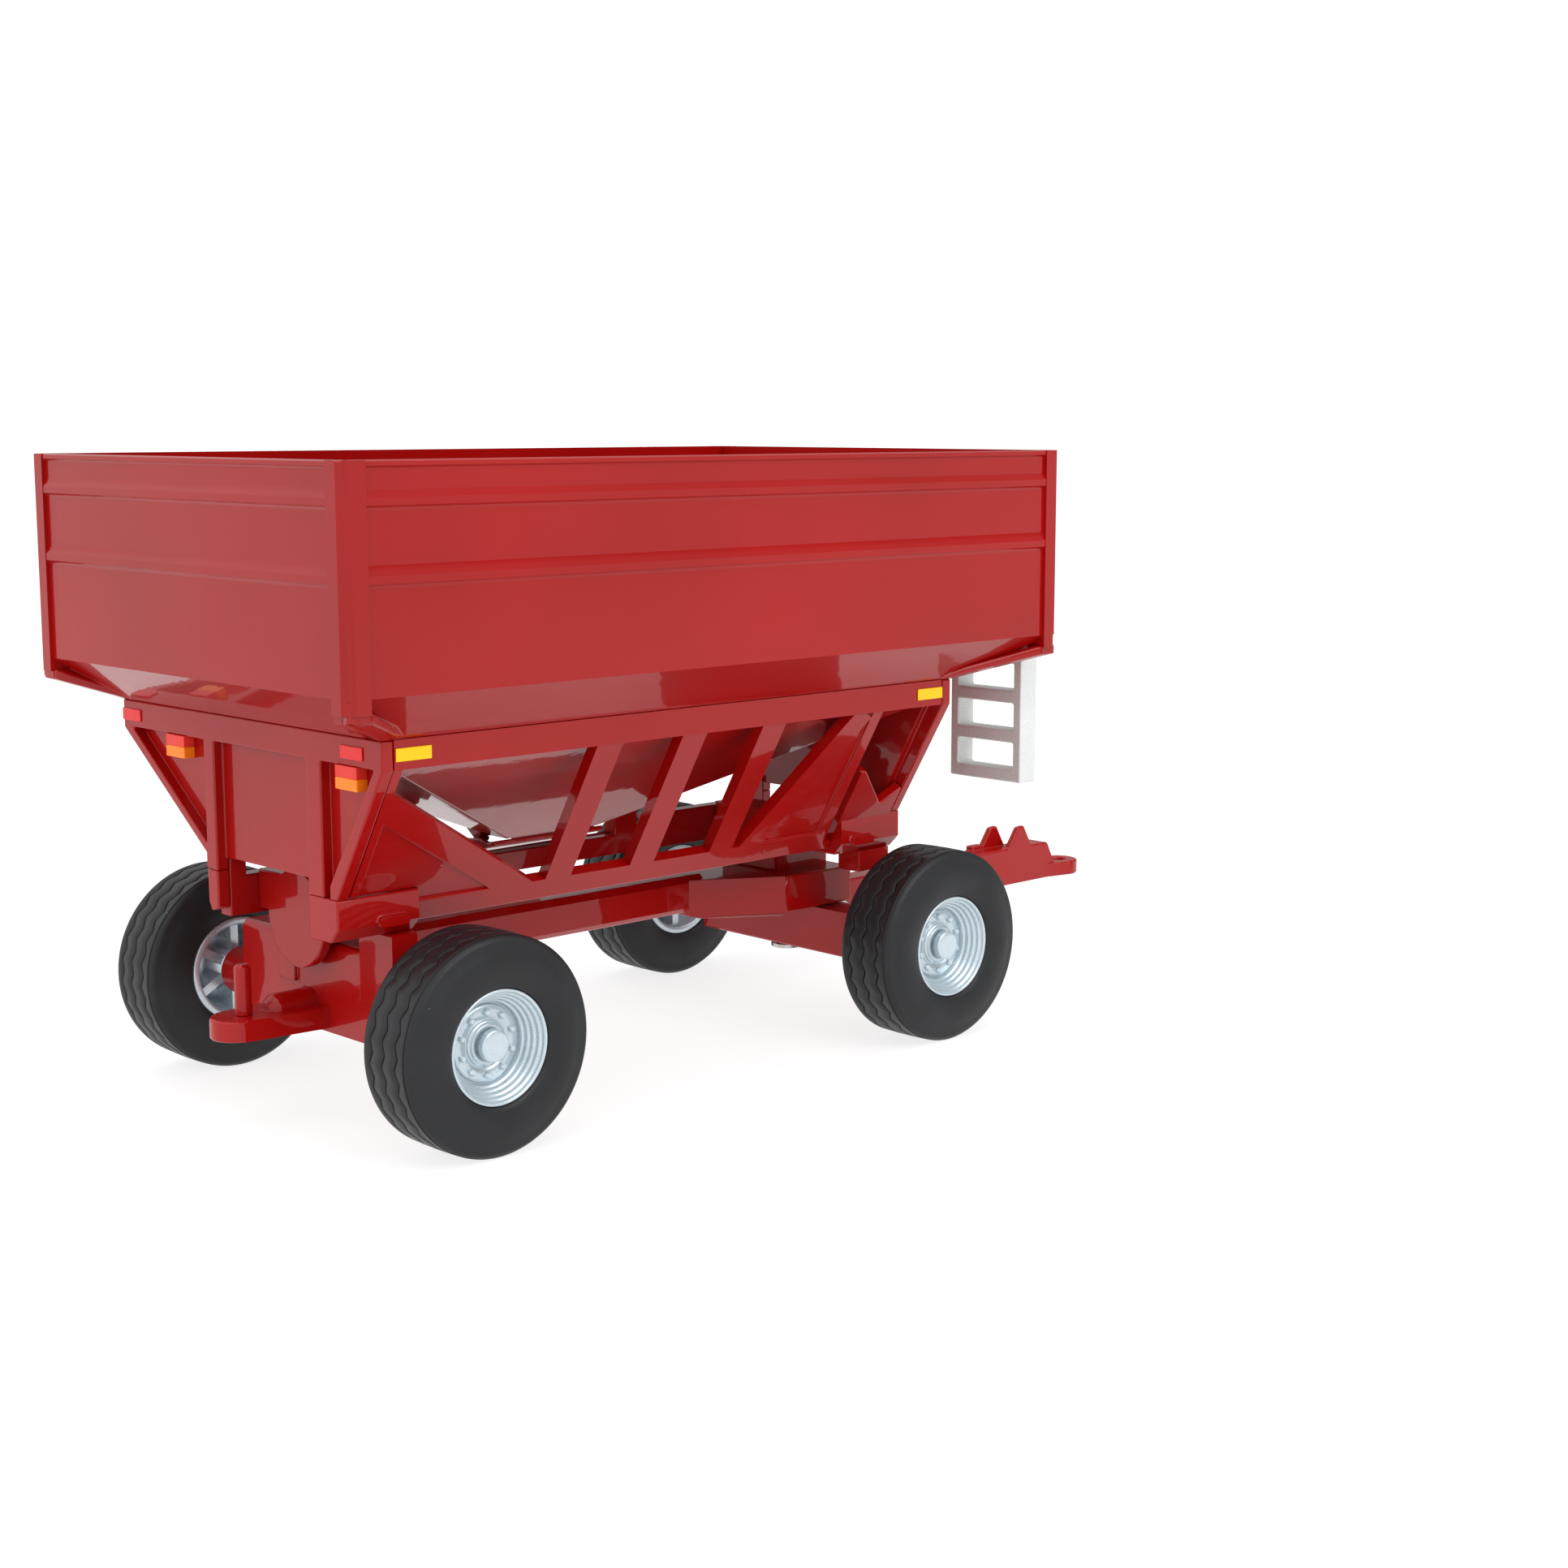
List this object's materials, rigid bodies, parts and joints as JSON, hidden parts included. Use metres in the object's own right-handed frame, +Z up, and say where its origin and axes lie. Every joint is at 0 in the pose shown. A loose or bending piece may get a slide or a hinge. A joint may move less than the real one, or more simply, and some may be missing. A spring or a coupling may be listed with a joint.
{
  "type": "grain wagon",
  "caption": "Scale-model gravity grain wagon: open hopper box on a braced frame, steered front axle with hinged tongue, spinning wheels and sliding discharge door.",
  "frame": {"origin": "on the ground, under the middle of the overall length and width", "axes": "+X forward towards the tongue, +Y to the wagon's left, +Z up"},
  "size_m": [0.2156, 0.0914, 0.1064],
  "materials": {
    "red_enamel": "gloss enamel on die-cast zinc",
    "plated_steel": "bright plated",
    "ladder_plastic": "satin silver-grey moulded plastic",
    "amber_print": "glossy",
    "red_print": "glossy",
    "stop_paint": "glossy",
    "turn_paint": "glossy",
    "tyre_rubber": "soft matt",
    "rim_plastic": "metallic silver moulded plastic"
  },
  "bodies": {
    "wagon": {"hopper_box": "red_enamel", "hopper_funnel": "red_enamel", "end_frame_rear": "red_enamel", "end_frame_front": "red_enamel", "side_frame_right": "red_enamel", "side_frame_left": "red_enamel", "rear_bolster": "red_enamel", "front_bolster": "red_enamel", "rear_axle_beam": "red_enamel", "rear_hitch_pin": "red_enamel", "reach_beam": "red_enamel", "yoke_block": "red_enamel", "door_guides": "red_enamel", "discharge_chute": "red_enamel", "rear_axle_rod": "plated_steel", "rear_axle_clips": "plated_steel", "kingpin": "plated_steel", "kingpin_clip": "plated_steel", "rear_axle_screws": "plated_steel", "yoke_screws": "plated_steel", "ladder": "ladder_plastic", "side_reflectors_right": "amber_print", "side_reflectors_left": "amber_print", "rear_reflectors": "red_print", "stop_lens_left": "stop_paint", "stop_lens_right": "stop_paint", "turn_lens_left": "turn_paint", "turn_lens_right": "turn_paint"},
    "front_axle": {"front_axle_beam": "red_enamel", "front_axle_rods": "plated_steel", "front_axle_clips": "plated_steel", "tongue_pin": "plated_steel"},
    "drawbar_tongue": {"tongue": "red_enamel"},
    "hopper_door": {"discharge_door": "red_enamel"},
    "wheel_rear_right": {"tyre_rear_right": "tyre_rubber", "rim_rear_right": "rim_plastic", "hub_cap_rear_right": "rim_plastic"},
    "wheel_rear_left": {"tyre_rear_left": "tyre_rubber", "rim_rear_left": "rim_plastic", "hub_cap_rear_left": "rim_plastic"},
    "wheel_front_right": {"tyre_front_right": "tyre_rubber", "rim_front_right": "rim_plastic", "hub_cap_front_right": "rim_plastic"},
    "wheel_front_left": {"tyre_front_left": "tyre_rubber", "rim_front_left": "rim_plastic", "hub_cap_front_left": "rim_plastic"}
  },
  "joints": [
    {"name": "steer", "type": "hinge", "parent": "wagon", "child": "front_axle", "pos_m": [0.022, 0, 0.0166], "axis": [0, 0, 1], "range_deg": [-25, 25]},
    {"name": "tongue_lift", "type": "hinge", "parent": "front_axle", "child": "drawbar_tongue", "pos_m": [0.0313, 0, 0.0175], "axis": [0, -1, 0], "range_deg": [-9, 30]},
    {"name": "door_slide", "type": "slide", "parent": "wagon", "child": "hopper_door", "axis": [0, 0.8065, 0.5912], "range_m": [0, 0.008]},
    {"name": "rear_right_spin", "type": "hinge", "parent": "wagon", "child": "wheel_rear_right", "pos_m": [-0.0802, -0.0372, 0.0175], "axis": [0, 1, 0], "continuous": true},
    {"name": "rear_left_spin", "type": "hinge", "parent": "wagon", "child": "wheel_rear_left", "pos_m": [-0.0802, 0.0372, 0.0175], "axis": [0, 1, 0], "continuous": true},
    {"name": "front_right_spin", "type": "hinge", "parent": "front_axle", "child": "wheel_front_right", "pos_m": [0.022, -0.0372, 0.0175], "axis": [0, 1, 0], "continuous": true},
    {"name": "front_left_spin", "type": "hinge", "parent": "front_axle", "child": "wheel_front_left", "pos_m": [0.022, 0.0372, 0.0175], "axis": [0, 1, 0], "continuous": true}
  ]
}
